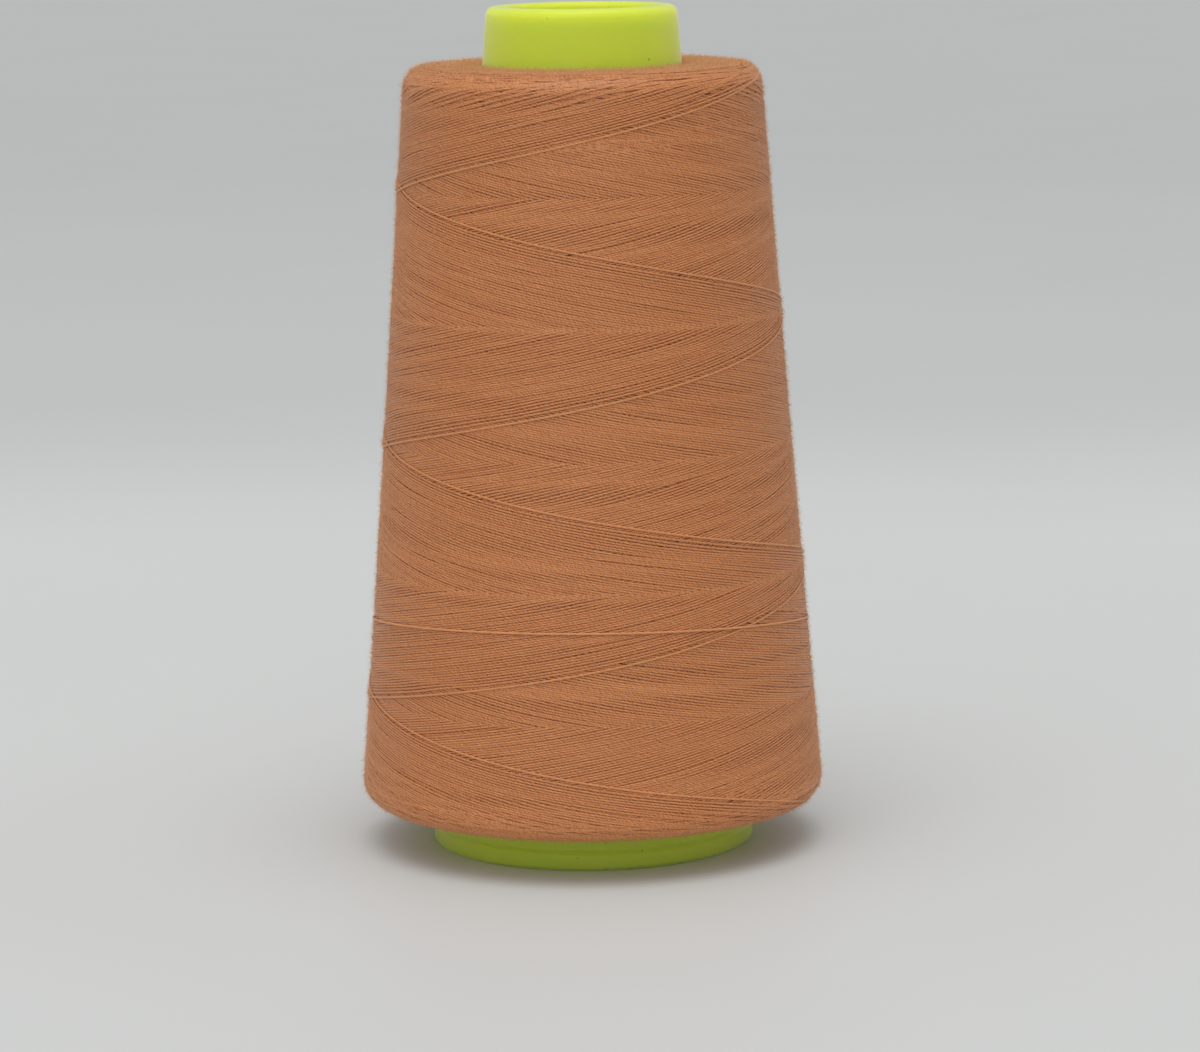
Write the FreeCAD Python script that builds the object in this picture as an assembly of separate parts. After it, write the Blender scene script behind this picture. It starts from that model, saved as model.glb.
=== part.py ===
import FreeCAD, Part
import math
import os

# A small cone of sewing thread: a one-piece moulded plastic cone, the body of the
# thread wound on it, and the outer layer of turns. Millimetres and degrees, +Z up,
# origin at the centre of the face that the cone stands on.

# Driving dimensions of the plastic cone.
overall_height = 115.0
cone_taper = 4 + 20 / 60
nose_radius = 12.95
nose_rounding = 1.2
nose_hole_radius = 10.2
nose_lip_height = 2.0
lip_rounding = 0.7
barrel_wall = 1.4
foot_radius = 22.15
foot_height = 5.4
foot_rounding = 0.6
groove_height = 2.6
groove_width = 0.8
groove_depth = 0.2

# Driving dimensions of the thread package.
winding_bottom = 5.9
winding_top = 107.0
winding_depth = 10.8
shoulder_rounding = 2.2
heel_rounding = 2.8
barrel_clearance = 0.1

# The outer layer: one strand, wound down and up by turns with a short reversal at
# each end of a stroke. The downward strokes lie over the upward ones.
strand_diameter = 0.7
seat_clearance = 0.1
layer_clearance = 0.43
strokes_down = 4
quarters_per_stroke_down = 11
quarters_per_stroke_up = 12
reversal_quarters = 1
start_angle = 60.0
# Each end of the strand stands this share of a quarter turn inside its stroke, clear
# of the reversal that crosses there.
end_trim = 0.25

# How finely the gap between the turns is measured along the strand, and how far
# along it, in diameters, two places lie that count as different turns.
gap_sample_step = 0.3
next_turn_diameters = 6

# Places nearer than this are the same place.
same_place = 1e-6

taper = math.radians(cone_taper)
quarter_turn = math.pi / 2
up = FreeCAD.Vector(0, 0, 1)
origin = FreeCAD.Vector(0, 0, 0)


def barrel_radius(z):
    """Outside radius of the tapered barrel at height z."""
    return nose_radius + (overall_height - z) * math.tan(taper)


def bore_radius(z):
    """Radius of the tapered hollow at height z, one wall inside the barrel."""
    return barrel_radius(z) - barrel_wall / math.cos(taper)


# The strands' centre lines stand this far off the body of the winding.
low_stand_off = seat_clearance + strand_diameter / 2
high_stand_off = low_stand_off + strand_diameter + layer_clearance
outer_layer_depth = high_stand_off + strand_diameter / 2


def body_radius(z):
    """Outside radius of the plain body of the winding, under the outer layer."""
    return barrel_radius(z) + winding_depth - outer_layer_depth / math.cos(taper)


def point(radius, z):
    """A point of a half section, in the XZ plane."""
    return FreeCAD.Vector(radius, 0, z)


def corner_arc(centre, radius, start, end):
    """An arc of the half section round a centre, between two angles above the horizontal."""
    places = []
    for angle in (start, (start + end) / 2, end):
        offset = point(radius * math.cos(angle), radius * math.sin(angle))
        places.append(centre + offset)
    return Part.Arc(*places).toShape()


def end_of(edge):
    return edge.valueAt(edge.LastParameter)


def start_of(edge):
    return edge.valueAt(edge.FirstParameter)


def turned_solid(outline):
    """A closed half section of edges in order, joined by straight lines and turned round Z."""
    edges = []
    for index, edge in enumerate(outline):
        previous = outline[index - 1]
        gap = start_of(edge) - end_of(previous)
        if gap.Length > same_place:
            edges.append(Part.LineSegment(end_of(previous), start_of(edge)).toShape())
        edges.append(edge)
    return Part.Face(Part.Wire(edges)).revolve(origin, up, 360)


def rounded_corner(radius_at, z, rounding, end_is_above):
    """The rounding between a tapered side and a level end face at height z."""
    centre_z = z - rounding if end_is_above else z + rounding
    centre = point(radius_at(centre_z) - rounding / math.cos(taper), centre_z)
    if end_is_above:
        return corner_arc(centre, rounding, taper, math.pi / 2)
    return corner_arc(centre, rounding, -math.pi / 2, taper)


def make_plastic_cone():
    """The moulding: a thin tapered barrel with a grooved foot and a rounded nose with a hole."""
    foot_edge = foot_radius - foot_rounding
    outline = [
        corner_arc(point(foot_edge, foot_rounding), foot_rounding, -math.pi / 2, 0),
        Part.LineSegment(
            point(foot_radius, groove_height - groove_width / 2),
            point(foot_radius - groove_depth, groove_height),
        ).toShape(),
        Part.LineSegment(
            point(foot_radius - groove_depth, groove_height),
            point(foot_radius, groove_height + groove_width / 2),
        ).toShape(),
        corner_arc(point(foot_edge, foot_height - foot_rounding), foot_rounding, 0, math.pi / 2),
        Part.LineSegment(
            point(barrel_radius(foot_height), foot_height),
            point(barrel_radius(winding_top), winding_top),
        ).toShape(),
        rounded_corner(barrel_radius, overall_height, nose_rounding, True),
        corner_arc(
            point(nose_hole_radius + lip_rounding, overall_height - lip_rounding),
            lip_rounding, math.pi / 2, math.pi,
        ),
        Part.LineSegment(
            point(nose_hole_radius, overall_height - nose_lip_height),
            point(bore_radius(overall_height - nose_lip_height), overall_height - nose_lip_height),
        ).toShape(),
        corner_arc(
            point(bore_radius(foot_rounding) + foot_rounding, foot_rounding),
            foot_rounding, math.pi, 3 * math.pi / 2,
        ),
    ]
    return turned_solid(outline)


def make_thread_package():
    """The body of the winding, a thick sleeve on the barrel with rounded shoulder and heel."""
    inside = barrel_clearance / math.cos(taper)
    outline = [
        rounded_corner(body_radius, winding_bottom, heel_rounding, False),
        rounded_corner(body_radius, winding_top, shoulder_rounding, True),
        Part.LineSegment(
            point(barrel_radius(winding_top) + inside, winding_top),
            point(barrel_radius(winding_bottom) + inside, winding_bottom),
        ).toShape(),
    ]
    return turned_solid(outline)


def around(angle):
    """The level direction that points outwards at an angle round the axis."""
    return FreeCAD.Vector(math.cos(angle), math.sin(angle), 0)


def square_to_body(angle):
    """The direction that stands square on the body's tapered side."""
    return around(angle) * math.cos(taper) + up * math.sin(taper)


def strand_node(angle, z, stand_off, fall):
    """A place on the strand and its direction there, at a rate of fall per radian of turn."""
    side = body_radius(z)
    place = around(angle) * side + up * z + square_to_body(angle) * stand_off
    reach = side + stand_off * math.cos(taper)
    ahead = around(angle + quarter_turn) * reach + around(angle) * (fall * math.tan(taper)) - up * fall
    return place, ahead.normalize()


def strand_end(angle, z, fall, at_start):
    """The strand's end: straight out of the body's side, then a bend into the first or last turn.

    Gives the point on the side, the two ends of the bend, and the direction along the strand."""
    seat = around(angle) * body_radius(z) + up * z
    outward = square_to_body(angle)
    ahead = strand_node(angle, z, 0, fall)[1]
    bend_foot = seat + outward * (high_stand_off - strand_diameter)
    along = strand_diameter if at_start else -strand_diameter
    bend_top = seat + outward * high_stand_off + ahead * along
    return seat, bend_foot, bend_top, ahead


def arc_from(start, direction, end):
    """The circular arc from start to end that sets out in the given direction."""
    chord = end - start
    half = chord.Length / 2
    middle_way = FreeCAD.Vector(chord).normalize()
    sideways = direction - middle_way * direction.dot(middle_way)
    turn = math.acos(max(-1.0, min(1.0, direction.dot(middle_way))))
    middle = (start + end) * 0.5 + sideways.normalize() * (half * math.tan(turn / 2))
    return Part.Arc(start, middle, end).toShape()


def biarc(start, start_way, end, end_way):
    """Two arcs that meet smoothly and join two places in the directions given there."""
    chord = end - start
    ways = start_way + end_way
    spread = 2 * (1 - start_way.dot(end_way))
    along = chord.dot(ways)
    reach = (math.sqrt(along * along + spread * chord.dot(chord)) - along) / spread
    meeting = (start + end + (start_way - end_way) * reach) * 0.5
    first = arc_from(start, start_way, meeting)
    last = arc_from(end, end_way * -1, meeting)
    backwards = Part.Arc(meeting, last.valueAt((last.FirstParameter + last.LastParameter) / 2), end)
    return [first, backwards.toShape()]


def strand_nodes():
    """The nodes of the whole winding, a quarter turn apart, from its first end to its last."""
    strokes = 2 * strokes_down - 1
    edge_room = strand_diameter / 2
    highest = winding_top - shoulder_rounding - edge_room
    lowest = winding_bottom + heel_rounding + edge_room
    # Each reversal swings this far past the end of its stroke.
    mean_quarters = (quarters_per_stroke_down + quarters_per_stroke_up) / 2
    swing_share = reversal_quarters / 4 / mean_quarters
    swing = (highest - lowest) * swing_share / (1 + 2 * swing_share)
    travel = highest - lowest - 2 * swing
    angle = math.radians(start_angle)
    nodes = []
    for stroke in range(strokes):
        goes_down = stroke % 2 == 0
        quarters = quarters_per_stroke_down if goes_down else quarters_per_stroke_up
        step = travel / quarters
        z = highest - swing if goes_down else lowest + swing
        stand_off = high_stand_off if goes_down else low_stand_off
        fall = step / quarter_turn if goes_down else -step / quarter_turn
        marks = list(range(quarters + 1))
        if stroke == 0:
            marks[0] += end_trim
        if stroke == strokes - 1:
            marks[-1] -= end_trim
        for mark in marks:
            turned = mark * quarter_turn
            nodes.append((angle + turned, z - fall * turned, stand_off, fall))
        angle += (quarters + reversal_quarters) * quarter_turn
    return nodes


def strand_path():
    """The centre line of the outer layer, one unbroken wire of arcs with a straight at each end."""
    nodes = strand_nodes()
    first_angle, first_z, _, first_fall = nodes[0]
    last_angle, last_z, _, last_fall = nodes[-1]
    seat, bend_foot, place, way = strand_end(first_angle, first_z, first_fall, True)
    edges = [Part.LineSegment(seat, bend_foot).toShape()]
    edges.append(arc_from(bend_foot, square_to_body(first_angle), place))
    for node in nodes[1:-1]:
        next_place, next_way = strand_node(*node)
        edges += biarc(place, way, next_place, next_way)
        place, way = next_place, next_way
    seat, bend_foot, bend_top, ahead = strand_end(last_angle, last_z, last_fall, False)
    edges += biarc(place, way, bend_top, ahead)
    edges.append(arc_from(bend_top, ahead, bend_foot))
    edges.append(Part.LineSegment(bend_foot, seat).toShape())
    return Part.Wire(edges)


def least_gap(path):
    """The least clear distance between two turns of the strand, measured on points along it."""
    points = path.discretize(Distance=gap_sample_step)
    cell = 2 * strand_diameter + layer_clearance
    skip = int(next_turn_diameters * strand_diameter / gap_sample_step)
    cells = {}
    for index, place in enumerate(points):
        key = (int(place.x // cell), int(place.y // cell), int(place.z // cell))
        cells.setdefault(key, []).append(index)
    least = cell
    for (x, y, z), members in cells.items():
        for dx in (-1, 0, 1):
            for dy in (-1, 0, 1):
                for dz in (-1, 0, 1):
                    others = cells.get((x + dx, y + dy, z + dz), [])
                    for index in members:
                        for other in others:
                            if other - index > skip:
                                least = min(least, points[index].distanceToPoint(points[other]))
    return least - strand_diameter


def make_outer_winding(path):
    """The outer layer of turns: a round strand carried along the path in one unbroken tube."""
    first_run = path.OrderedEdges[0]
    ahead = first_run.tangentAt(first_run.FirstParameter)
    section = Part.makeCircle(strand_diameter / 2, start_of(first_run), ahead)
    return path.makePipeShell([Part.Wire(section)], True, False)


def main():
    os.makedirs("parts", exist_ok=True)
    path = strand_path()
    turns = (strokes_down * quarters_per_stroke_down
             + (strokes_down - 1) * quarters_per_stroke_up
             + 2 * (strokes_down - 1) * reversal_quarters) / 4
    print("turns of the outer layer", turns)
    print("least gap between its turns, mm", round(least_gap(path), 3))
    solids = {
        "plastic_cone": make_plastic_cone(),
        "thread_package": make_thread_package(),
        "outer_winding": make_outer_winding(path),
    }
    for name, solid in solids.items():
        solid.exportStep(f"parts/{name}.step")
        print(name, solid.isValid(), "volume, mm3", round(solid.Volume, 1))
    strand_section = math.pi * strand_diameter ** 2 / 4
    print("strand section times length, mm3", round(strand_section * path.Length, 1))


main()
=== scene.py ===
"""Cone of sewing thread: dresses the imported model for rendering.

The thread is wound here as one long strand, turn by turn, in the order in which the machine lays it.
Lengths are in metres, and MM turns a size in millimetres to metres.
"""

from math import cos, pi, radians, sin, tan, tau

import bpy
import numpy as np
from mathutils import Matrix, Vector


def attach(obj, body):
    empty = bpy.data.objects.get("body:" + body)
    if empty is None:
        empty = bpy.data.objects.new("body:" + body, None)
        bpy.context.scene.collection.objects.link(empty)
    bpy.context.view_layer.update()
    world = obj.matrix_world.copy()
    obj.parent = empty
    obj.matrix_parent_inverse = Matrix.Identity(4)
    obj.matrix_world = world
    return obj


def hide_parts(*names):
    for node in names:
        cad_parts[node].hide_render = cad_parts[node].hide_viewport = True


bl_info = {
    "name": "Cone of Sewing Thread",
    "version": (1, 0, 0),
    "blender": (4, 5, 0),
    "location": "3D View > Sidebar > Thread",
    "description": "Makes a cross-wound cone of sewing thread round its packed model",
    "category": "Add Mesh",
}

MM = 0.001

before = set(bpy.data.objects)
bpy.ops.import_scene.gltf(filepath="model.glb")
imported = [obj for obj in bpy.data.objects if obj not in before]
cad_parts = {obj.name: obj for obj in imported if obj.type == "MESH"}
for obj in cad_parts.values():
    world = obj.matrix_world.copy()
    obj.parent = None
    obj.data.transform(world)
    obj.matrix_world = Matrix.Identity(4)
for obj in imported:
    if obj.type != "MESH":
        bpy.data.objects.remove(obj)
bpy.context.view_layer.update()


def linear(hex_colour):
    """An sRGB hex colour as linear red, green and blue."""
    srgb = np.array([int(hex_colour[i : i + 2], 16) for i in (1, 3, 5)]) / 255
    light = np.where(srgb <= 0.04045, srgb / 12.92, ((srgb + 0.055) / 1.055) ** 2.4)
    return tuple(float(channel) for channel in light)


class PackageSizes(bpy.types.PropertyGroup):
    """The outline of the wound package."""

    low_radius: bpy.props.FloatProperty(
        name="Lower radius", description="Radius of the winding at the lower height",
        default=31.85 * MM, unit="LENGTH", precision=5)
    low_height: bpy.props.FloatProperty(
        name="Lower height", description="Height of the lower radius",
        default=8.0 * MM, unit="LENGTH", precision=5)
    high_radius: bpy.props.FloatProperty(
        name="Upper radius", description="Radius of the winding at the upper height",
        default=24.55 * MM, unit="LENGTH", precision=5)
    high_height: bpy.props.FloatProperty(
        name="Upper height", description="Height of the upper radius",
        default=103.0 * MM, unit="LENGTH", precision=5)
    waist: bpy.props.FloatProperty(
        name="Waist", description="How far the side is drawn in half way up",
        default=0.15 * MM, unit="LENGTH", precision=5)
    bottom: bpy.props.FloatProperty(
        name="Bottom", description="Height of the package's lower face",
        default=5.9 * MM, unit="LENGTH", precision=5)
    top: bpy.props.FloatProperty(
        name="Top", description="Height of the package's upper face",
        default=107.0 * MM, unit="LENGTH", precision=5)
    heel: bpy.props.FloatProperty(
        name="Heel", description="Rounding of the lower edge",
        default=2.8 * MM, unit="LENGTH", precision=5)
    shoulder: bpy.props.FloatProperty(
        name="Shoulder", description="Rounding of the upper edge",
        default=2.9 * MM, unit="LENGTH", precision=5)
    bottom_bore: bpy.props.FloatProperty(
        name="Bottom bore", description="Radius of the barrel at the package's lower face",
        default=20.6 * MM, unit="LENGTH", precision=5)
    top_bore: bpy.props.FloatProperty(
        name="Top bore", description="Radius of the barrel at the package's upper face",
        default=13.5 * MM, unit="LENGTH", precision=5)


class ThreadSizes(bpy.types.PropertyGroup):
    """The thread and the way it is laid."""

    width: bpy.props.FloatProperty(
        name="Width", description="Width of the thread as it lies",
        default=0.345 * MM, unit="LENGTH", precision=6)
    height: bpy.props.FloatProperty(
        name="Height", description="Height of the thread as it lies, pressed a little flat",
        default=0.28 * MM, unit="LENGTH", precision=6)
    layer: bpy.props.FloatProperty(
        name="Layer", description="How much one layer adds to the radius",
        default=0.16 * MM, unit="LENGTH", precision=6)
    lead: bpy.props.FloatProperty(
        name="Lead", description="How far the thread climbs in one turn",
        default=34.8 * MM, unit="LENGTH", precision=5)
    strands: bpy.props.IntProperty(
        name="Strands", description="Strands side by side in one lead", default=102)
    turns: bpy.props.IntProperty(
        name="Turns", description="Turns in one stroke", default=3)
    turnaround: bpy.props.FloatProperty(
        name="Turnaround", description="Angle that the thread takes to change direction",
        default=radians(45), subtype="ANGLE")
    highest: bpy.props.FloatProperty(
        name="Highest", description="Height of the upper turnaround, measured along the side",
        default=106.2 * MM, unit="LENGTH", precision=5)
    last_turn: bpy.props.FloatProperty(
        name="Last turnaround", description="Direction of the last upper turnaround",
        default=radians(13.6), subtype="ANGLE")
    samples: bpy.props.IntProperty(
        name="Samples", description="Points along the thread in one stroke", default=312)
    sides: bpy.props.IntProperty(
        name="Sides", description="Sides of the thread's section", default=5)
    fibre: bpy.props.FloatProperty(
        name="Fibre", description="Thickness of a loose fibre, drawn three times as coarse as it is",
        default=0.035 * MM, unit="LENGTH", precision=6)
    bead: bpy.props.FloatProperty(
        name="Bead", description="Length of one ply's bead, half of the twist's turn",
        default=0.6 * MM, unit="LENGTH", precision=6)


class Colours(bpy.types.PropertyGroup):
    """Colours of the product and of the room that it stands in."""

    # The light and deep thread colours are the ends between which the dye's level moves. The deep
    # one is the dye's darker end and also the colour of the painted shade in the grooves, on the
    # strands' flanks and in the packed thread below the turns
    thread_light: bpy.props.FloatVectorProperty(
        name="Light thread", description="The raised plies of the thread", subtype="COLOR",
        default=linear("#E29A5E"))
    thread_deep_and_shaded: bpy.props.FloatVectorProperty(
        name="Deep thread", description="Thread in the grooves and below the turns",
        subtype="COLOR", default=linear("#A44404"))
    # The fibres' pale colour is partly their own fineness and partly painted sheen
    fuzz: bpy.props.FloatVectorProperty(
        name="Fibres", description="Loose fibre ends", subtype="COLOR",
        default=linear("#F0CA9C"))
    plastic: bpy.props.FloatVectorProperty(
        name="Plastic", description="Fluorescent yellow-green plastic", subtype="COLOR",
        default=linear("#D5F645"))
    floor: bpy.props.FloatVectorProperty(
        name="Floor", description="Pale floor", subtype="COLOR", default=linear("#D0D2D1"))
    backdrop: bpy.props.FloatVectorProperty(
        name="Backdrop", description="Grey distance", subtype="COLOR",
        default=linear("#B5B7B7"))


def settings():
    """The three groups of settings on the scene."""
    scene = bpy.context.scene
    return scene.package_sizes, scene.thread_sizes, scene.finish_colours


def smooth_step(x):
    """0 below 0, 1 above 1, and 3x² - 2x³ between them."""
    x = np.clip(x, 0.0, 1.0)
    return x * x * (3 - 2 * x)


def taper_of(package):
    """The slope of the package's side, as an angle from the axis."""
    fall = package.low_radius - package.high_radius
    return np.arctan(fall / (package.high_height - package.low_height))


def package_outline(package):
    """Points of the half section from the lower face, round the heel, up the side, round the
    shoulder and in along the upper face, with the distance along it.

    On the side the distance is height / cos(taper), so a distance stands for a height there.
    Returns distance, radius, height, and the outward normal's radial and upward parts.
    """
    taper = taper_of(package)
    steps = 60

    def side_radius(height):
        return package.low_radius - tan(taper) * (height - package.low_height)

    heel_height = package.bottom + package.heel
    heel_radius = side_radius(heel_height) - package.heel / cos(taper)
    shoulder_height = package.top - package.shoulder
    shoulder_radius = side_radius(shoulder_height) - package.shoulder / cos(taper)

    angle = np.linspace(-pi / 2, taper, steps)
    heel = np.stack([heel_radius + package.heel * np.cos(angle),
                     heel_height + package.heel * np.sin(angle),
                     np.cos(angle), np.sin(angle)])
    angle = np.linspace(taper, pi / 2, steps)
    shoulder = np.stack([shoulder_radius + package.shoulder * np.cos(angle),
                         shoulder_height + package.shoulder * np.sin(angle),
                         np.cos(angle), np.sin(angle)])
    share = np.linspace(0, 1, steps + 2)[1:-1]
    side_height = heel[1, -1] + share * (shoulder[1, 0] - heel[1, -1])
    side = np.stack([side_radius(side_height) - package.waist * np.sin(pi * share), side_height,
                     np.full(steps, cos(taper)), np.full(steps, sin(taper))])
    lower_face = np.array([[package.bottom_bore], [package.bottom], [0], [-1]])
    upper_face = np.array([[package.top_bore], [package.top], [0], [1]])
    line = np.concatenate([lower_face, heel, side, shoulder, upper_face], axis=1)
    step = np.hypot(np.diff(line[0]), np.diff(line[1]))
    distance = np.concatenate([[0], np.cumsum(step)])
    on_side = 1 + steps
    distance += line[1, on_side] / cos(taper) - distance[on_side]
    return np.concatenate([distance[None], line])


def on_package(outline, distance, azimuth):
    """Points on the package and the outward normals there, for a distance along the outline and
    an azimuth: the outline's point, turned round the axis."""
    radius, height, out, up = (np.interp(distance, outline[0], row) for row in outline[1:])
    across, along = np.cos(azimuth), np.sin(azimuth)
    points = np.stack([radius * across, radius * along, height], axis=-1)
    normals = np.stack([out * across, out * along, up], axis=-1)
    return points, normals / np.linalg.norm(normals, axis=-1, keepdims=True)


def tube_surface(points, normals, half_width, half_height, sides):
    """A thread along points, as rings of vertices.

    A ring is point + normal * half_height * cos(turn) + sideways * half_width * sin(turn), for as
    many equal turns as it has sides, where sideways is square to the path and to the normal.
    points and normals are (paths, samples, 3), and each path becomes one tube.
    """
    tangents = np.gradient(points, axis=-2)
    sideways = np.cross(tangents, normals)
    sideways /= np.linalg.norm(sideways, axis=-1, keepdims=True)
    turn = np.arange(sides) * tau / sides
    return (points[..., None, :]
            + normals[..., None, :] * (half_height * np.cos(turn))[:, None]
            + sideways[..., None, :] * (half_width * np.sin(turn))[:, None])


def tube_faces(paths, samples, sides):
    """The quads between neighbouring rings, and the two end faces of each tube."""
    first = (np.arange(paths) * samples * sides)[:, None, None]
    ring = (np.arange(samples - 1) * sides)[None, :, None]
    side = np.arange(sides)[None, None, :]
    after = (side + 1) % sides
    here = first + ring
    quads = np.stack([here + side, here + after, here + sides + after, here + sides + side], axis=-1)
    starts = (first[:, 0] + np.arange(sides)).reshape(paths, sides)
    ends = starts + (samples - 1) * sides
    return quads.reshape(-1, 4), starts[:, ::-1], ends


def put_mesh(name, vertices, face_groups, material, uv=None, shade=None, outward=None):
    """An object made of vertices and groups of faces, each group with as many corners a face.

    uv has one pair for each corner in the order of the faces. shade has one number for each
    vertex, and outward one direction, and both are kept as attributes.
    """
    mesh = bpy.data.meshes.new(name)
    vertices = np.ascontiguousarray(vertices, dtype=np.float32).reshape(-1, 3)
    corners = np.concatenate([group.ravel() for group in face_groups]).astype(np.int32)
    sizes = np.concatenate([np.full(len(group), group.shape[1]) for group in face_groups])
    mesh.vertices.add(len(vertices))
    mesh.vertices.foreach_set("co", vertices.ravel())
    mesh.loops.add(len(corners))
    mesh.loops.foreach_set("vertex_index", corners)
    mesh.polygons.add(len(sizes))
    starts = np.concatenate([[0], np.cumsum(sizes)[:-1]]).astype(np.int32)
    mesh.polygons.foreach_set("loop_start", starts)
    mesh.update(calc_edges=True)
    mesh.polygons.foreach_set("use_smooth", np.ones(len(sizes), dtype=bool))
    if uv is not None:
        layer = mesh.uv_layers.new(name="Along the thread")
        layer.data.foreach_set("uv", np.ascontiguousarray(uv, dtype=np.float32).ravel())
    for title, kind, field, values in (("shade", "FLOAT", "value", shade),
                                       ("outward", "FLOAT_VECTOR", "vector", outward)):
        if values is not None:
            kept = mesh.attributes.new(title, kind, "POINT")
            kept.data.foreach_set(field, np.ascontiguousarray(values, dtype=np.float32).ravel())
    if mesh.validate():
        raise RuntimeError(f"{name} has faces that can't be kept")
    mesh.materials.append(material)
    made = bpy.data.objects.new(name, mesh)
    bpy.context.collection.objects.link(made)
    return made


def put_thread(name, points, normals, thread, material, shade):
    """Tubes of thread along paths of (paths, samples, 3), with the length along the thread in
    millimetres and the turn round it as the UV map, for the plies' twist."""
    sides = thread.sides
    rings = tube_surface(points, normals, thread.width / 2, thread.height / 2, sides)
    paths, samples = points.shape[:2]
    quads, starts, ends = tube_faces(paths, samples, sides)
    steps = np.linalg.norm(np.diff(points, axis=1), axis=-1)
    length = np.concatenate([np.zeros((paths, 1)), np.cumsum(steps, axis=1)], axis=1) / MM
    ring = np.broadcast_to(np.arange(samples - 1)[None, :, None], (paths, samples - 1, sides))
    path = np.broadcast_to(np.arange(paths)[:, None, None], ring.shape)
    side = np.broadcast_to(np.arange(sides)[None, None, :], ring.shape)
    near, far = length[path, ring], length[path, ring + 1]
    low, high = side / sides, (side + 1) / sides
    quad_uv = np.stack([near, low, near, high, far, high, far, low], axis=-1).reshape(-1, 2)
    turn = np.tile(np.arange(sides) / sides, paths)
    start_uv = np.stack([np.repeat(length[:, 0], sides), turn[::-1]], axis=-1)
    end_uv = np.stack([np.repeat(length[:, -1], sides), turn], axis=-1)
    uv = np.concatenate([quad_uv, start_uv, end_uv])
    shade = np.broadcast_to(shade[..., None], (paths, samples, sides))
    outward = np.broadcast_to(normals[..., None, :], rings.shape)
    return put_mesh(name, rings, [quads, starts, ends], material, uv, shade, outward)


def node(tree, kind, inputs=None, **fields):
    """Adds a node, with fields set on it and inputs that are values, other nodes' sockets, or
    nodes, which stand for their first output."""
    made = tree.nodes.new(kind)
    for field, value in fields.items():
        setattr(made, field, value)
    for key, value in (inputs or {}).items():
        if isinstance(value, bpy.types.Node):
            value = value.outputs[0]
        if isinstance(value, bpy.types.NodeSocket):
            tree.links.new(value, made.inputs[key])
        else:
            made.inputs[key].default_value = value
    return made


def new_material(name):
    """An empty node material with its tree."""
    material = bpy.data.materials.new(name)
    material.use_nodes = True
    material.node_tree.nodes.clear()
    return material, material.node_tree


def opaque(colour):
    """A colour with full alpha."""
    return (*colour, 1.0)


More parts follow.
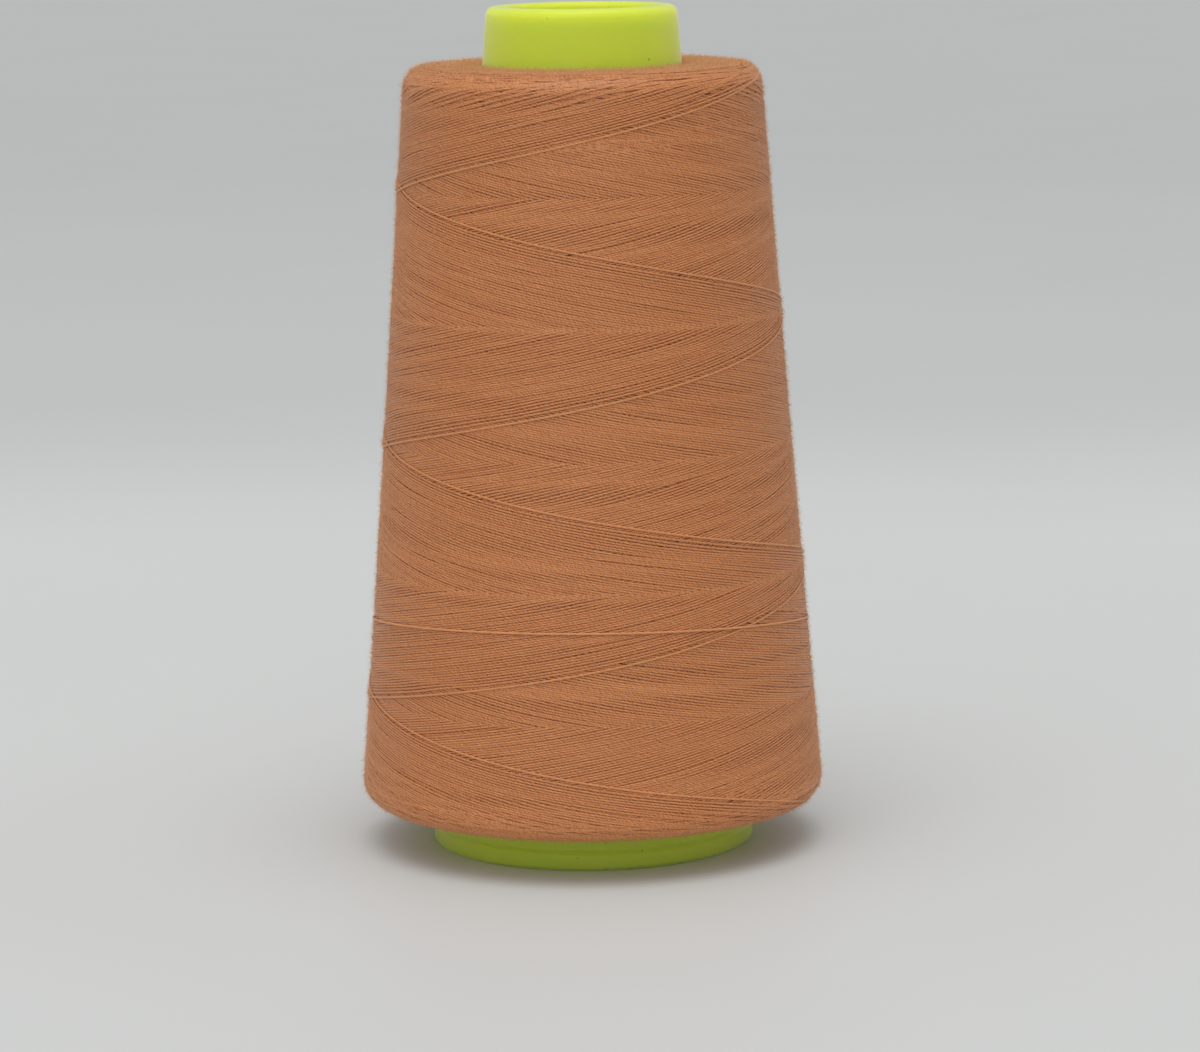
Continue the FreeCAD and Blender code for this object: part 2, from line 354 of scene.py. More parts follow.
def spun_polyester(name, thread, colours):
    """Spun polyester sewing thread: two plies of short fibres, twisted together and dyed.

    It is matt. Its plies show as small slanting beads, and the grooves between them and the flanks
    of each strand are drawn in a deeper colour as painted shade. Its loose fibre ends show as pale
    flecks, which are painted glints as well. The beads are not all as long, because the twist of a
    thread is never quite even: it wanders by a few beads. The finest fibres lie over the turns as a
    dull coat with the package's own normal, so the package has a pale bloom where it is seen at a
    slant.
    """
    plies, wander, fibre_slant, relief_height = 2.0, 6.0, 4.0, 0.05 * MM
    material, tree = new_material(name)
    uv = node(tree, "ShaderNodeUVMap", uv_map="Along the thread")
    place = node(tree, "ShaderNodeSeparateXYZ", {"Vector": uv}).outputs
    along = node(tree, "ShaderNodeMath", {0: place["X"], 1: MM / thread.bead},
                 operation="MULTIPLY")
    uneven = node(tree, "ShaderNodeTexNoise", {"W": along, "Scale": 0.16, "Detail": 1.0},
                  noise_dimensions="1D")
    even = node(tree, "ShaderNodeMath", {0: place["Y"], 1: -plies, 2: along},
                operation="MULTIPLY_ADD")
    twist = node(tree, "ShaderNodeMath", {0: uneven, 1: wander, 2: even}, operation="MULTIPLY_ADD")
    half_turns = node(tree, "ShaderNodeMath", {0: twist, 1: pi}, operation="MULTIPLY")
    wave = node(tree, "ShaderNodeMath", {0: half_turns}, operation="SINE")
    ply = node(tree, "ShaderNodeMath", {0: wave}, operation="ABSOLUTE")
    round_it = node(tree, "ShaderNodeMath", {0: place["Y"], 1: tau}, operation="MULTIPLY")
    crown = node(tree, "ShaderNodeMath", {0: round_it}, operation="COSINE")
    slant = node(tree, "ShaderNodeMath", {0: twist, 1: fibre_slant}, operation="MULTIPLY")
    fibre_place = node(tree, "ShaderNodeCombineXYZ", {"X": along, "Y": slant})
    fibres = node(tree, "ShaderNodeTexNoise", {"Vector": fibre_place, "Scale": 2.0,
                                               "Detail": 2.0, "Roughness": 0.6})
    shade = node(tree, "ShaderNodeAttribute", attribute_name="shade").outputs["Fac"]

    # Each of these moves the level of the dye, where 0 is the deep colour and 1 the light one.
    # The terms for the grooves and the flanks are painted shade, darker in the grooves between the
    # plies and on each strand's flanks. The shade attribute is each strand's own uneven dye, with a
    # painted highlight on the newest strands and on the loose turn
    painted_groove_shade = node(tree, "ShaderNodeMapRange", {"Value": ply, "From Max": 0.85, "To Min": -1.05,
                                               "To Max": -0.45})
    painted_flank_shade = node(tree, "ShaderNodeMapRange", {"Value": crown, "From Min": 0.25, "From Max": 0.85,
                                              "To Max": 0.55})
    edges = node(tree, "ShaderNodeMath", {0: painted_groove_shade, 1: painted_flank_shade})
    streaks_and_shade = node(tree, "ShaderNodeMath", {0: fibres, 1: 1.6, 2: edges}, operation="MULTIPLY_ADD")
    level = node(tree, "ShaderNodeMath", {0: shade, 1: 0.25, 2: streaks_and_shade},
                 operation="MULTIPLY_ADD", use_clamp=True)
    # The dye's colour, with the painted shade of the grooves and flanks in it
    dyed = node(tree, "ShaderNodeMix", {0: level, 6: opaque(colours.thread_deep_and_shaded),
                                        7: opaque(colours.thread_light)},
                data_type="RGBA").outputs[2]
    # Pale flecks of loose fibre ends, painted paler still as the fibres' glints
    fibre_fleck_and_glint = node(tree, "ShaderNodeMapRange", {"Value": fibres, "From Min": 0.54, "From Max": 0.74,
                                              "To Max": 0.35})
    tinted = node(tree, "ShaderNodeMix", {0: fibre_fleck_and_glint, 6: dyed, 7: opaque(colours.fuzz)},
                  data_type="RGBA").outputs[2]
    relief = node(tree, "ShaderNodeMath", {0: fibres, 1: 0.5, 2: ply}, operation="MULTIPLY_ADD")
    bump = node(tree, "ShaderNodeBump", {"Height": relief, "Strength": 0.5,
                                         "Distance": relief_height})
    outward = node(tree, "ShaderNodeAttribute", attribute_name="outward").outputs["Vector"]
    shader = node(tree, "ShaderNodeBsdfPrincipled", {
        "Base Color": tinted, "Normal": bump, "Roughness": 0.7, "IOR": 1.57,
        "Specular IOR Level": 0.1, "Coat Weight": 1.0, "Coat Roughness": 0.5, "Coat IOR": 1.5,
        "Coat Normal": outward})
    node(tree, "ShaderNodeOutputMaterial", {"Surface": shader})
    return material


def loose_fibre(name, colours):
    """The ends of the staple fibres that stand off a spun thread. They are hair-fine, so they look
    paler than the thread, and their colour is painted paler still as painted sheen; together they
    make its outline soft."""
    patch_size = 1.1 * MM
    material, tree = new_material(name)
    spot = node(tree, "ShaderNodeTexCoord").outputs["Object"]
    patch = node(tree, "ShaderNodeTexNoise", {"Vector": spot, "Scale": 1 / patch_size})
    mixed = node(tree, "ShaderNodeMix", {0: patch, 6: opaque(colours.thread_light),
                                         7: opaque(colours.fuzz)}, data_type="RGBA").outputs[2]
    shader = node(tree, "ShaderNodeBsdfPrincipled", {
        "Base Color": mixed, "Roughness": 0.6, "IOR": 1.57, "Specular IOR Level": 0.2})
    node(tree, "ShaderNodeOutputMaterial", {"Surface": shader})
    return material


def packed_thread(name, colours):
    """The thread below the outer turns. Hardly any light reaches it, and its colour is painted
    deeper than the outer turns' as painted shade, so it reads as a deep brown line between them,
    streaked like the turns that it is made of."""
    streak_length, streak_height, relief_height = 3.3 * MM, 0.28 * MM, 0.1 * MM
    material, tree = new_material(name)
    spot = node(tree, "ShaderNodeTexCoord").outputs["Object"]
    place = node(tree, "ShaderNodeMapping", {
        "Vector": spot, "Scale": (1 / streak_length, 1 / streak_length, 1 / streak_height)})
    streak = node(tree, "ShaderNodeTexNoise", {"Vector": place, "Scale": 1.0, "Detail": 2.0})
    # Painted shade: the packed thread goes from the deep colour only half way to the light one
    middle = (Vector(colours.thread_light) + Vector(colours.thread_deep_and_shaded)) / 2
    mixed = node(tree, "ShaderNodeMix", {0: streak, 6: opaque(colours.thread_deep_and_shaded),
                                         7: opaque(middle)}, data_type="RGBA")
    bump = node(tree, "ShaderNodeBump", {"Height": streak, "Strength": 0.5,
                                         "Distance": relief_height})
    shader = node(tree, "ShaderNodeBsdfPrincipled", {
        "Base Color": mixed.outputs[2], "Normal": bump, "Roughness": 0.9,
        "Specular IOR Level": 0.2})
    node(tree, "ShaderNodeOutputMaterial", {"Surface": shader})
    return material


def moulded_polypropylene(name, colour):
    """Injection-moulded polypropylene with a fluorescent yellow-green dye.

    Light spreads up to a centimetre through it, so it glows and its edges look soft. The skin is
    smooth, with a faint ripple from the mould, a few dust specks and a satin shine.
    """
    cloud_size, speck_size, ripple_size, ripple_height = 11 * MM, 0.7 * MM, 3.8 * MM, 0.05 * MM
    material, tree = new_material(name)
    spot = node(tree, "ShaderNodeTexCoord").outputs["Object"]
    cloud = node(tree, "ShaderNodeTexNoise", {"Vector": spot, "Scale": 1 / cloud_size,
                                              "Detail": 2.0})
    speck = node(tree, "ShaderNodeTexNoise", {"Vector": spot, "Scale": 1 / speck_size,
                                              "Detail": 1.0})
    ripple = node(tree, "ShaderNodeTexNoise", {"Vector": spot, "Scale": 1 / ripple_size,
                                               "Detail": 3.0})
    pale = tuple(min(1.0, channel * 1.08) for channel in colour)
    mixed = node(tree, "ShaderNodeMix", {0: cloud, 6: opaque(colour), 7: opaque(pale)},
                 data_type="RGBA")
    dust = node(tree, "ShaderNodeMapRange", {"Value": speck, "From Min": 0.77,
                                             "From Max": 0.82, "To Min": 1.0, "To Max": 0.6})
    tinted = node(tree, "ShaderNodeVectorMath", {0: mixed.outputs[2], "Scale": dust},
                  operation="SCALE")
    gloss = node(tree, "ShaderNodeMapRange", {"Value": ripple, "To Min": 0.36, "To Max": 0.48})
    bump = node(tree, "ShaderNodeBump", {"Height": ripple, "Strength": 0.15,
                                         "Distance": ripple_height})
    shader = node(tree, "ShaderNodeBsdfPrincipled", {
        "Base Color": tinted, "Normal": bump, "Roughness": gloss, "IOR": 1.49,
        "Specular IOR Level": 0.35, "Subsurface Weight": 1.0,
        "Subsurface Radius": (1.0, 0.7, 0.2), "Subsurface Scale": 10.0 * MM,
        "Sheen Weight": 0.5, "Sheen Roughness": 0.4, "Sheen Tint": opaque(linear("#F4FADC"))})
    node(tree, "ShaderNodeOutputMaterial", {"Surface": shader})
    return material


def painted_board(name, floor, backdrop):
    """A matt pale board that the product stands on. Its paint turns to the backdrop's grey with
    distance from the product, over a soft band, and is faintly clouded. The distance is the fourth
    root of x^4 + y^4, which makes the band straight as it passes behind the product."""
    cloud_size = 110 * MM
    material, tree = new_material(name)
    spot = node(tree, "ShaderNodeTexCoord").outputs["Object"]
    square = node(tree, "ShaderNodeVectorMath", {0: spot, 1: spot}, operation="MULTIPLY")
    fourth = node(tree, "ShaderNodeVectorMath", {0: square, 1: square}, operation="DOT_PRODUCT")
    away = node(tree, "ShaderNodeMath", {0: fourth.outputs["Value"], 1: 0.25}, operation="POWER")
    near = node(tree, "ShaderNodeMapRange",
                {"Value": away, "From Min": 235 * MM, "From Max": 460 * MM},
                interpolation_type="SMOOTHSTEP")
    far = node(tree, "ShaderNodeMapRange", {"Value": away, "From Min": 300 * MM,
                                            "From Max": 1200 * MM, "To Min": 1.18,
                                            "To Max": 1.05})
    cloud = node(tree, "ShaderNodeTexNoise", {"Vector": spot, "Scale": 1 / cloud_size,
                                              "Detail": 2.0})
    level = node(tree, "ShaderNodeMapRange", {"Value": cloud, "To Min": 0.98, "To Max": 1.02})
    distant = node(tree, "ShaderNodeVectorMath", {0: tuple(backdrop), "Scale": far},
                   operation="SCALE")
    mixed = node(tree, "ShaderNodeMix", {0: near, 6: opaque(floor), 7: distant}, data_type="RGBA")
    tinted = node(tree, "ShaderNodeVectorMath", {0: mixed.outputs[2], "Scale": level},
                  operation="SCALE")
    paint = node(tree, "ShaderNodeBsdfPrincipled", {
        "Base Color": tinted, "Roughness": 0.5, "IOR": 1.5, "Specular IOR Level": 0.25})
    node(tree, "ShaderNodeOutputMaterial", {"Surface": paint})
    return material


def stroke_share(angle, full, turnaround):
    """How much of a stroke is done after an angle: speed rises evenly from 0 over the first
    turnaround, stays the same, and falls evenly to 0 over the last one."""
    speed = 1 / (full - turnaround)
    rising = speed * angle ** 2 / (2 * turnaround)
    even = speed * (angle - turnaround / 2)
    falling = 1 - speed * (full - angle) ** 2 / (2 * turnaround)
    return np.where(angle < turnaround, rising, np.where(angle > full - turnaround, falling, even))


def knotted_noise(random, rows, samples, knots):
    """Smooth random waves, one row for each stroke: random values at evenly spaced knots, joined
    by cosine steps."""
    values = random.normal(size=(rows, knots + 2))
    place = np.linspace(0, knots, samples, endpoint=False)
    knot = place.astype(int)
    part = (1 - np.cos(pi * (place - knot))) / 2
    return values[:, knot] * (1 - part) + values[:, knot + 1] * part


def opened_gaps(random, strands, samples):
    """How far each strand lies off its even place, in strand spacings, along its stroke.

    The strands touch, except where one has drifted from its neighbour: there the gap opens and
    closes as (1 - t^2)^2 over a centimetre or more. Its half length is a share of the stroke, and
    a width below 0 makes no gap. Every later strand is shifted by it, and the whole lead is closed
    up again evenly. The last few strands lie a little apart all the way.
    """
    gaps_per_strand = 7
    half_lengths = (0.008, 0.03)
    widths = (-0.3, 0.45)
    newest_gaps = np.array([0.05, 0.1, 0.15, 0.2, 1.0])[:, None]
    place = np.linspace(0, 1, samples, endpoint=False)
    extra = np.zeros((strands, samples))
    for _ in range(gaps_per_strand):
        middle = random.random((strands, 1))
        half = random.uniform(*half_lengths, size=(strands, 1))
        wide = random.uniform(*widths, size=(strands, 1))
        t = np.clip((place - middle) / half, -1, 1)
        extra += np.maximum(wide, 0) * (1 - t * t) ** 2
    extra[-len(newest_gaps):] += newest_gaps
    shift = np.cumsum(extra, axis=0)
    count = np.arange(1, strands + 1)[:, None] / strands
    return shift - shift[-1] * count


def strand_ages(package, thread, azimuth, height):
    """The ages of the upward and the downward strand at a place on the side, from 0 for the
    newest to 1: how far the place is above the newest upward strand, or below the newest downward
    one, as a share of a lead."""
    climb = thread.lead / tau
    bend = thread.turnaround / 2
    newest_up = thread.highest + climb * (azimuth - thread.last_turn + bend)
    newest_down = thread.highest - climb * (azimuth - thread.last_turn - bend)
    return ((height - newest_up) / thread.lead) % 1, ((newest_down - height) / thread.lead) % 1


def wind_thread(package, thread):
    """The whole outer winding as one path, oldest turn first: points, normals and shades of
    (strokes, samples).

    Upward and downward strokes take turns. A strand's age is its place in the lead, from 0 for the
    newest to 1. Where strands cross, the younger lies on top. A strand's height over the package's
    mean surface is one layer times 1 - its age - the age of the strands that cross it there, and a
    layer lower where those are younger. So the surface steps down by one layer at the newest
    strand of each direction, as on the real package.
    """
    random = np.random.default_rng(7)
    outline = package_outline(package)
    strands, samples = thread.strands, thread.samples
    # The extra share of a turn sets each double stroke one strand further on
    full = (thread.turns + 0.5 / strands) * tau
    angle = np.arange(samples) * full / samples
    travel = thread.lead / tau * (full - thread.turnaround)
    risen = travel * stroke_share(angle, full, thread.turnaround)
    lowest = thread.highest - travel

    index = np.arange(strands)[::-1, None]
    top_turn = thread.last_turn - 2 * full * index
    azimuths = np.stack([top_turn - full + angle, top_turn + angle], axis=1)
    rises = np.broadcast_to(np.stack([lowest + risen, thread.highest - risen]),
                            (strands, 2, samples))
    up_age, down_age = strand_ages(package, thread, azimuths, rises)
    crossed = np.stack([down_age[:, 0], up_age[:, 1]], axis=1)
    age = (index / strands)[:, None]
    dive = 0.02  # the share of a lead over which a strand goes from over to under
    under = smooth_step((age - crossed) / dive + 0.5)
    levels = thread.layer * (1 - age - crossed - under)

    free = smooth_step(np.minimum(angle, full - angle) / thread.turnaround)
    spacing = thread.lead / strands
    drift = np.stack([-opened_gaps(random, strands, samples),
                      opened_gaps(random, strands, samples)], axis=1)
    wobble_share, wobble_knots = 0.05, 40
    wobble = wobble_share * knotted_noise(random, 2 * strands, samples, wobble_knots)
    wobble = wobble.reshape(strands, 2, samples)
    # No two turnarounds lie at quite the same height
    top_reach = random.uniform(-1.0, 1.4, size=(strands, 1)) * MM
    bottom_reach = random.uniform(-1.2, 1.0, size=(strands + 1, 1)) * MM
    end_angle = 1.6 * thread.turnaround
    early = 1 - smooth_step(angle / end_angle)
    late = 1 - smooth_step((full - angle) / end_angle)
    reach = np.stack([early * bottom_reach[:-1] + late * top_reach,
                      early * top_reach + late * bottom_reach[1:]], axis=1)
    heights = rises + free * spacing * (drift + wobble) + reach

    rough, rough_knots = 0.01 * MM, 60
    rise_and_fall = rough * knotted_noise(random, 2 * strands, samples, rough_knots)
    levels = free * levels + rise_and_fall.reshape(strands, 2, samples) - thread.height / 2
    points, normals = on_package(outline, heights / cos(taper_of(package)), azimuths)
    # Each strand's own uneven dye, and a painted highlight that makes the newest strand of each
    # direction lighter
    uneven_dye, newest_highlight = 0.2, 1.0
    shades = random.normal(scale=uneven_dye, size=(strands, 2, 1))
    shades[-1] += newest_highlight
    shades = np.broadcast_to(shades, levels.shape)
    return points + normals * levels[..., None], normals, shades


def loose_turn(package, thread):
    """The last length of thread, which crosses the others nearly level and lies on top of them.

    Its height is the greatest height - fall * (azimuth from there / the fall's angle)^2. It
    follows the winding's steps, smoothed over a few degrees, and its ends go under.
    """
    samples = 240
    start, highest_at, end = radians(-235), radians(-95), radians(45)
    greatest_height, fall, fall_angle = 34.0 * MM, 1.87 * MM, radians(70)
    azimuth = np.linspace(start, end, samples)
    height = greatest_height - fall * ((azimuth - highest_at) / fall_angle) ** 2
    up_age, down_age = strand_ages(package, thread, azimuth, height)
    level = thread.layer * (1 - up_age - down_age)
    smoothed = 9
    level = np.convolve(np.pad(level, smoothed // 2, mode="edge"), np.ones(smoothed) / smoothed,
                        mode="valid")
    rise, dive, dive_angle = 0.3 * thread.height, 2.5 * thread.layer, radians(12)
    ends = smooth_step(np.minimum(azimuth - start, end - azimuth) / dive_angle)
    level += rise - (1 - ends) * dive
    outline = package_outline(package)
    points, normals = on_package(outline, height / cos(taper_of(package)), azimuth)
    return points + normals * level[:, None], normals


class THREAD_OT_winding(bpy.types.Operator):
    """Winds the outer turns of the package, in blocks of strokes of about the same age."""

    bl_idname = "thread.winding"
    bl_label = "Outer winding"

    def execute(self, context):
        package, thread, colours = settings()
        material = spun_polyester("Spun polyester thread", thread, colours)
        points, normals, shades = wind_thread(package, thread)
        blocks = 6
        for number, block in enumerate(np.array_split(np.arange(thread.strands), blocks), 1):
            path = points[block].reshape(1, -1, 3)
            made = put_thread(f"winding_block_{number}", path, normals[block].reshape(1, -1, 3),
                              thread, material, shades[block].reshape(1, -1))
            if number == blocks:
                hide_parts("outer_winding")
            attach(made, "root")
        points, normals = loose_turn(package, thread)
        # A painted highlight: the loose turn is drawn lighter than the dye, as it lies on top in
        # full light
        loose_turn_highlight = 1.2
        shade = np.full((1, len(points)), loose_turn_highlight)
        made = put_thread("loose_turn", points[None], normals[None], thread, material, shade)
        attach(made, "root")
        return {"FINISHED"}


def turned_surface(radius, height, steps):
    """A closed profile of radii and heights turned round the axis, as vertices and quads."""
    azimuth = np.arange(steps) * tau / steps
    vertices = np.stack([radius[None] * np.cos(azimuth)[:, None],
                         radius[None] * np.sin(azimuth)[:, None],
                         np.broadcast_to(height[None], (steps, len(height)))], axis=-1)
    count = len(radius)
    ring = np.arange(steps)[:, None] * count
    after = ((np.arange(steps) + 1) % steps)[:, None] * count
    point = np.arange(count)[None]
    beside = (point + 1) % count
    quads = np.stack([ring + point, after + point, after + beside, ring + beside], axis=-1)
    return vertices, quads.reshape(-1, 4)


class THREAD_OT_body(bpy.types.Operator):
    """Makes the body of the package below the outer turns: the package's outline, moved in along
    its normal by a depth that grows from its faces to its side."""

    bl_idname = "thread.body"
    bl_label = "Package body"

    def execute(self, context):
        package, thread, colours = settings()
        material = packed_thread("Packed thread", colours)
        outline = package_outline(package)
        below_faces = 0.6 * thread.height
        below_side = thread.height + 1.4 * thread.layer
        depth = below_faces + (below_side - below_faces) * outline[3]
        radius = outline[1] - outline[3] * depth
        height = outline[2] - outline[4] * depth
        vertices, quads = turned_surface(radius, height, steps=256)
        made = put_mesh("package_body", vertices, [quads], material)
        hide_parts("thread_package")
        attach(made, "root")
        return {"FINISHED"}


def inner_turns(package, thread, random, first, last, count, droop, reach, sink):
    """Older turns that show where the newest ones leave room, as arcs about a turnaround each:
    points, normals and shades.

    Their turnarounds are spread from the first distance along the outline to the last. From
    there an arc falls away as droop * azimuth^2, up to reach radians to each side, and dives at
    its ends. sink is how far they lie below the newest turns.
    """
    samples, uneven_dye = 44, 0.25
    scatter, roughness, dive = 0.3 * thread.width, 0.5 * thread.layer, 1.5 * thread.layer
    start = random.uniform(0, tau, size=(count, 1))
    top = np.linspace(first, last, count)[:, None]
    top = top + random.normal(scale=scatter, size=(count, 1))
    half = random.uniform(*reach, size=(count, 1))
    sweep = np.linspace(-1, 1, samples)
    distance = top + droop * (half * sweep) ** 2
    outline = package_outline(package)
    distance = np.clip(distance, outline[0, 0], outline[0, -1])
    points, normals = on_package(outline, distance, start + half * sweep)
    uneven = roughness * random.uniform(-1, 1, size=(count, 1))
    level = uneven - dive * sweep ** 4 - thread.height / 2 - sink
    shade = np.broadcast_to(random.normal(scale=uneven_dye, size=(count, 1)), level.shape)
    return points + normals * level[..., None], normals, shade


class THREAD_OT_faces(bpy.types.Operator):
    """Lays the older turns that show at the package's two ends."""

    bl_idname = "thread.faces"
    bl_label = "Older turns at the ends"

    def execute(self, context):
        package, thread, colours = settings()
        material = bpy.data.materials["Spun polyester thread"]
        outline = package_outline(package)
        random = np.random.default_rng(11)
        shoulder = thread.highest / cos(taper_of(package))
        inner, outer = outline[0, 0], outline[0, -1]
        long_arcs, short_arcs = (1.1, 1.9), (0.8, 1.2)
        flat, steep = 0.45 * MM, 2.6 * MM
        under = 0.9 * thread.layer
        for name, first, last, count, droop, reach, sink in (
            ("upper_face_turns", shoulder, outer, 160, -flat, long_arcs, 0.0),
            ("lower_face_turns", inner, 9.5 * MM, 200, flat, long_arcs, 0.0),
            ("shoulder_turns", shoulder - 9.0 * MM, shoulder + 1.5 * MM, 240, -steep, short_arcs,
             under),
            ("heel_turns", 5.0 * MM, 13.0 * MM, 220, steep, short_arcs, under),
        ):
            points, normals, shade = inner_turns(package, thread, random, first, last, count,
                                                 droop, reach, sink)
            made = put_thread(name, points, normals, thread, material, shade)
            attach(made, "root")
        return {"FINISHED"}


def fibre_places(package, thread, random, count):
    """Places on the winding where fibres stand: points a little below the surface, normals, and
    the level and steep directions in the surface. They are evenly spread by area, but four times
    as thick on the upper face, where nothing rubs them off."""
    outline = package_outline(package)
    facing_up, steepest_side, upper_share = 0.7, 0.2, 4.0
    thick = np.where(outline[4] > facing_up, upper_share, 1.0)
    share = np.cumsum(np.concatenate([[0], np.diff(outline[0])]) * outline[1] * thick)
    distance = np.interp(random.random(count) * share[-1], share, outline[0])
    azimuth = random.uniform(0, tau, size=count)
    points, normals = on_package(outline, distance, azimuth)
    up_age, down_age = strand_ages(package, thread, azimuth, points[:, 2])
    on_side = normals[:, 2] < steepest_side
    level = np.where(on_side, thread.layer * (1 - up_age - down_age), 0.0)
    root_depth = 0.3 * thread.height
    roots = points + normals * (level - root_depth)[:, None]
    across = np.stack([-np.sin(azimuth), np.cos(azimuth), np.zeros(count)], axis=1)
    return roots, normals, across, np.cross(normals, across)


def triangle_round(direction):
    """The three corners of a triangle of radius 1, square to each direction."""
    side = np.cross(direction, np.roll(direction, 1, axis=1))
    side /= np.linalg.norm(side, axis=1, keepdims=True)
    other = np.cross(direction, side)
    angle = np.arange(3) * tau / 3
    return side[:, None] * np.cos(angle)[:, None] + other[:, None] * np.sin(angle)[:, None]


def fibre_way(random, out, across, along, least_rise):
    """Random directions between the surface and its normal: rise * normal + a unit vector that
    lies in the surface."""
    count = len(out)
    rise = random.uniform(least_rise, 1.0 + least_rise, size=(count, 1))
    turn = random.uniform(0, tau, size=(count, 1))
    way = rise * out + np.cos(turn) * across + np.sin(turn) * along
    return way / np.linalg.norm(way, axis=1, keepdims=True)


def bent_fibres(roots, way, length, half_width, random):
    """Loose fibres as thin three-sided spikes with one bend, as vertices and faces.

    A fibre goes half its length in its first direction, bends at random and ends in a point:
    root + t * length * (first direction), then + (t - 1/2) * length * (second direction).
    """
    count = len(roots)
    bend_amount, bend_width = 0.6, 0.7
    second = way + random.normal(scale=bend_amount, size=(count, 3))
    second /= np.linalg.norm(second, axis=1, keepdims=True)
    bend = roots + way * length[:, None] / 2
    tip = bend + second * length[:, None] / 2
    ring = triangle_round(way) * half_width
    vertices = np.concatenate([roots[:, None] + ring, bend[:, None] + bend_width * ring,
                               tip[:, None]], axis=1)
    # Three corners round the root, three round the bend, and the tip
    start = np.arange(count)[:, None] * 7
    corner = np.arange(3)[None]
    after = (corner + 1) % 3
    walls = np.stack([start + corner, start + after, start + 3 + after, start + 3 + corner],
                     axis=-1).reshape(-1, 4)
    tips = np.stack([start + 3 + corner, start + 3 + after,
                     np.broadcast_to(start + 6, (count, 3))], axis=-1).reshape(-1, 3)
    ends = np.concatenate([start + 2, start + 1, start], axis=1)
    return vertices, [walls, tips, ends]


def straight_fibres(roots, way, length, half_width):
    """Short fibres as straight three-sided spikes, as vertices and faces: three corners round the
    root, and the tip at root + length * direction."""
    count = len(roots)
    tip = roots + way * length[:, None]
    ring = triangle_round(way) * half_width
    vertices = np.concatenate([roots[:, None] + ring, tip[:, None]], axis=1)
    # Three corners round the root, and the tip
    start = np.arange(count)[:, None] * 4
    corner = np.arange(3)[None]
    walls = np.stack([start + corner, start + (corner + 1) % 3,
                      np.broadcast_to(start + 3, (count, 3))], axis=-1).reshape(-1, 3)
    ends = np.concatenate([start + 2, start + 1, start], axis=1)
    return vertices, [walls, ends]


class THREAD_OT_fibres(bpy.types.Operator):
    """Makes the fibre ends that stand off the thread and soften the outline."""

    bl_idname = "thread.fibres"
    bl_label = "Loose fibres"

    def execute(self, context):
        package, thread, colours = settings()
        material = loose_fibre("Loose polyester fibre", colours)
        random = np.random.default_rng(5)
        half_width = thread.fibre / 2
        for number in (1, 2):
            roots, *ways = fibre_places(package, thread, random, count=19000)
            length = random.lognormal(mean=-0.2, sigma=0.4, size=len(roots))
            length = np.minimum(length, 1.8) * MM
            way = fibre_way(random, *ways, least_rise=0.1)
            vertices, faces = bent_fibres(roots, way, length, half_width, random)
            made = put_mesh(f"loose_fibres_{number}", vertices, faces, material)
            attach(made, "root")
        for number in (1, 2):
            roots, *ways = fibre_places(package, thread, random, count=48000)
            length = random.lognormal(mean=-0.5, sigma=0.35, size=len(roots))
            length = np.minimum(length, 1.2) * MM
            way = fibre_way(random, *ways, least_rise=0.5)
            vertices, faces = straight_fibres(roots, way, length, half_width)
            made = put_mesh(f"short_fuzz_{number}", vertices, faces, material)
            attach(made, "root")
        return {"FINISHED"}


class THREAD_OT_cone(bpy.types.Operator):
    """Finishes the plastic cone, whose solid stays, with its moulded plastic."""

    bl_idname = "thread.cone"
    bl_label = "Plastic cone"

    def execute(self, context):
        colours = settings()[2]
        material = moulded_polypropylene("Moulded polypropylene", colours.plastic)
        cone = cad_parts["plastic_cone"]
        cone.data.materials.clear()
        cone.data.materials.append(material)
        return {"FINISHED"}


def soft_lamp(name, azimuth, elevation, width, level):
    """A distant soft lamp in a direction, as wide as an angle. A surface that faces it is lit to a
    level, where 1 is the level at which a colour looks as it is written."""
    data = bpy.data.lights.new(name, "SUN")
    data.angle = radians(width)
    data.energy = pi * level
    lamp = bpy.data.objects.new(name, data)
    side = cos(radians(elevation))
    away = Vector((side * cos(radians(azimuth)), side * sin(radians(azimuth)),
                   sin(radians(elevation))))
    lamp.matrix_world = (Matrix.Translation(away)
                         @ away.to_track_quat("Z", "Y").to_matrix().to_4x4())
    bpy.context.collection.objects.link(lamp)


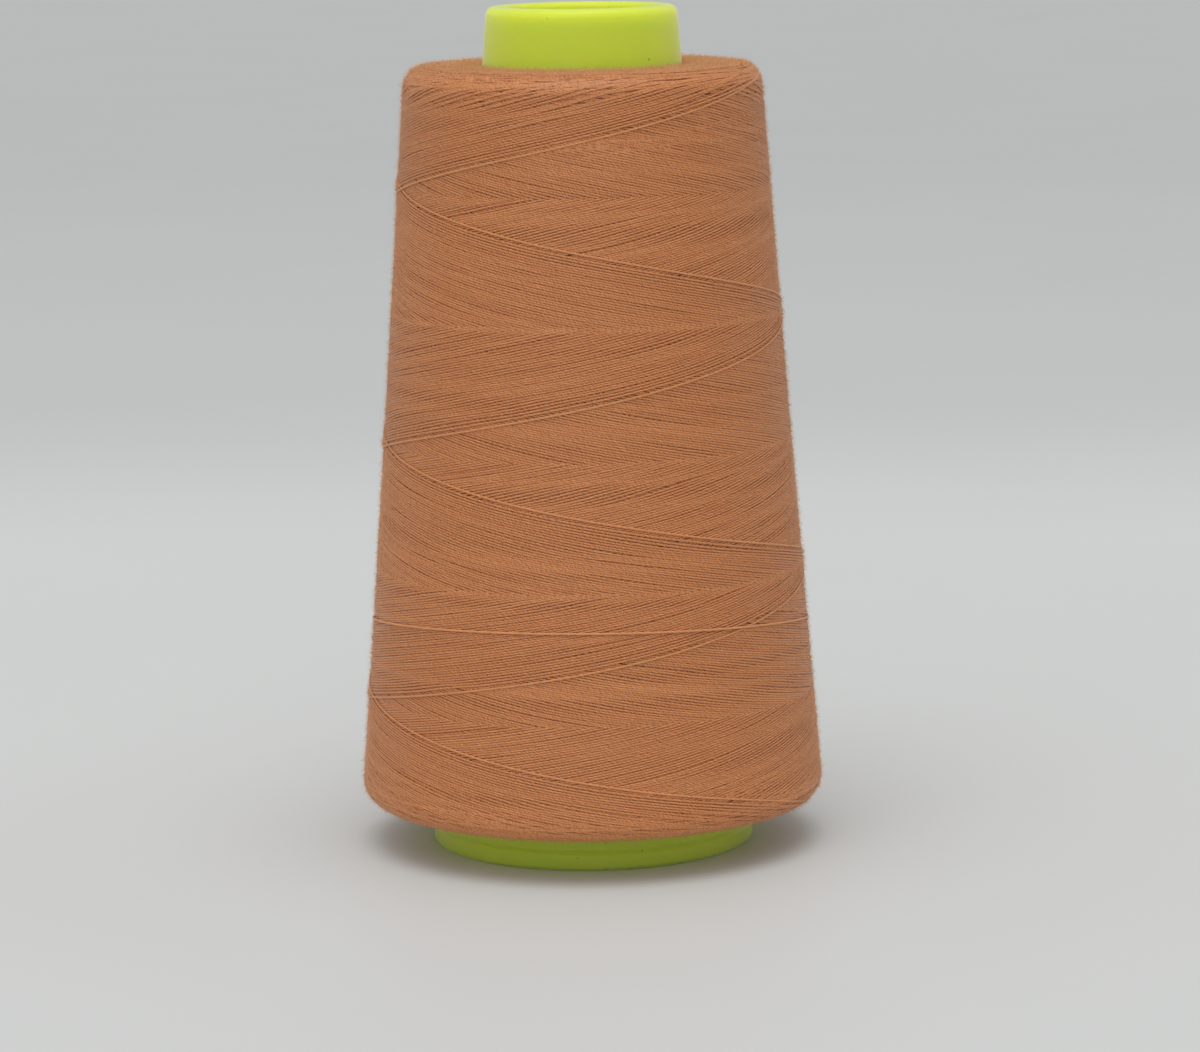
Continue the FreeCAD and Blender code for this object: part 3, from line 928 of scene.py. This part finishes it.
class THREAD_OT_stage(bpy.types.Operator):
    """Makes the floor, the light and the camera at the photograph's viewing angle."""

    bl_idname = "thread.stage"
    bl_label = "Stage, light and camera"

    def execute(self, context):
        colours = settings()[2]
        scene = context.scene
        material = painted_board("Painted board", colours.floor, colours.backdrop)
        # The radii of the floor's rings, round a small face in the middle
        rings = np.array([0.0001, 0.3, 1.0, 3.0, 9.0])
        steps = 64
        floor_height = -0.02 * MM
        azimuth = np.arange(steps) * tau / steps
        vertices = np.stack([rings[:, None] * np.cos(azimuth), rings[:, None] * np.sin(azimuth),
                             np.full((len(rings), steps), floor_height)], axis=-1)
        ring = (np.arange(len(rings) - 1) * steps)[:, None]
        point = np.arange(steps)[None]
        after = (point + 1) % steps
        quads = np.stack([ring + point, ring + steps + point, ring + steps + after, ring + after],
                         axis=-1).reshape(-1, 4)
        floor = put_mesh("floor", vertices, [quads, point], material)

        world = bpy.data.worlds.new("Soft light")
        world.use_nodes = True
        tree = world.node_tree
        tree.nodes.clear()
        path = node(tree, "ShaderNodeLightPath")
        clear = node(tree, "ShaderNodeMath", {0: path.outputs["Is Glossy Ray"],
                                              1: path.outputs["Is Transmission Ray"]})
        seen = node(tree, "ShaderNodeMath", {0: path.outputs["Is Camera Ray"], 1: clear},
                    use_clamp=True)
        way = node(tree, "ShaderNodeSeparateXYZ",
                   {0: node(tree, "ShaderNodeTexCoord").outputs["Generated"]})
        level = node(tree, "ShaderNodeMapRange", {"Value": way.outputs["Z"], "From Max": 0.9,
                                                  "To Min": 0.44, "To Max": 0.68},
                     interpolation_type="SMOOTHSTEP")
        soft = node(tree, "ShaderNodeBackground", {"Color": (1, 1, 1, 1), "Strength": level})
        grey = node(tree, "ShaderNodeBackground", {"Color": opaque(colours.backdrop),
                                                   "Strength": 1.0})
        both = node(tree, "ShaderNodeMixShader", {0: seen, 1: soft, 2: grey})
        node(tree, "ShaderNodeOutputWorld", {"Surface": both})
        scene.world = world

        soft_lamp("above", azimuth=-95, elevation=80, width=45, level=0.31)
        soft_lamp("front", azimuth=-106, elevation=40, width=60, level=0.16)
        scene.view_settings.view_transform = "Standard"

        # The lens in pixels of the photograph's width, as fitted to the outline
        lens_pixels, photo_width = 4405.1, 1200
        data = bpy.data.cameras.new("photo camera")
        data.sensor_width = 36.0
        data.lens = lens_pixels / photo_width * data.sensor_width
        data.clip_start = 0.01
        data.clip_end = 20.0
        camera = bpy.data.objects.new("photo camera", data)
        place = (1.51 * MM, -600 * MM, 141.34 * MM)
        pitch = radians(9.26)
        roll = radians(-0.84)
        camera.matrix_world = (Matrix.Translation(place)
                               @ Matrix.Rotation(pi / 2 - pitch, 4, "X")
                               @ Matrix.Rotation(roll, 4, "Z"))
        bpy.context.collection.objects.link(camera)
        scene.camera = camera
        return {"FINISHED"}


class THREAD_PT_panel(bpy.types.Panel):
    """Lists the steps that make the cone of thread."""

    bl_idname = "THREAD_PT_panel"
    bl_label = "Cone of sewing thread"
    bl_space_type = "VIEW_3D"
    bl_region_type = "UI"
    bl_category = "Thread"

    def draw(self, context):
        for step in STEPS:
            self.layout.operator(step.bl_idname)


STEPS = (THREAD_OT_stage, THREAD_OT_cone, THREAD_OT_body, THREAD_OT_winding, THREAD_OT_faces,
         THREAD_OT_fibres)
GROUPS = {"package_sizes": PackageSizes, "thread_sizes": ThreadSizes, "finish_colours": Colours}


def register():
    """Registers the settings, the steps and the panel."""
    for name, group in GROUPS.items():
        bpy.utils.register_class(group)
        setattr(bpy.types.Scene, name, bpy.props.PointerProperty(type=group))
    for step in (*STEPS, THREAD_PT_panel):
        bpy.utils.register_class(step)


def unregister():
    """Takes back what register did."""
    for step in (THREAD_PT_panel, *reversed(STEPS)):
        bpy.utils.unregister_class(step)
    for name, group in reversed(GROUPS.items()):
        delattr(bpy.types.Scene, name)
        bpy.utils.unregister_class(group)


def main():
    """Makes everything in order."""
    register()
    bpy.ops.thread.stage()
    bpy.ops.thread.cone()
    bpy.ops.thread.body()
    bpy.ops.thread.winding()
    bpy.ops.thread.faces()
    bpy.ops.thread.fibres()


if __name__ == "__main__":
    main()
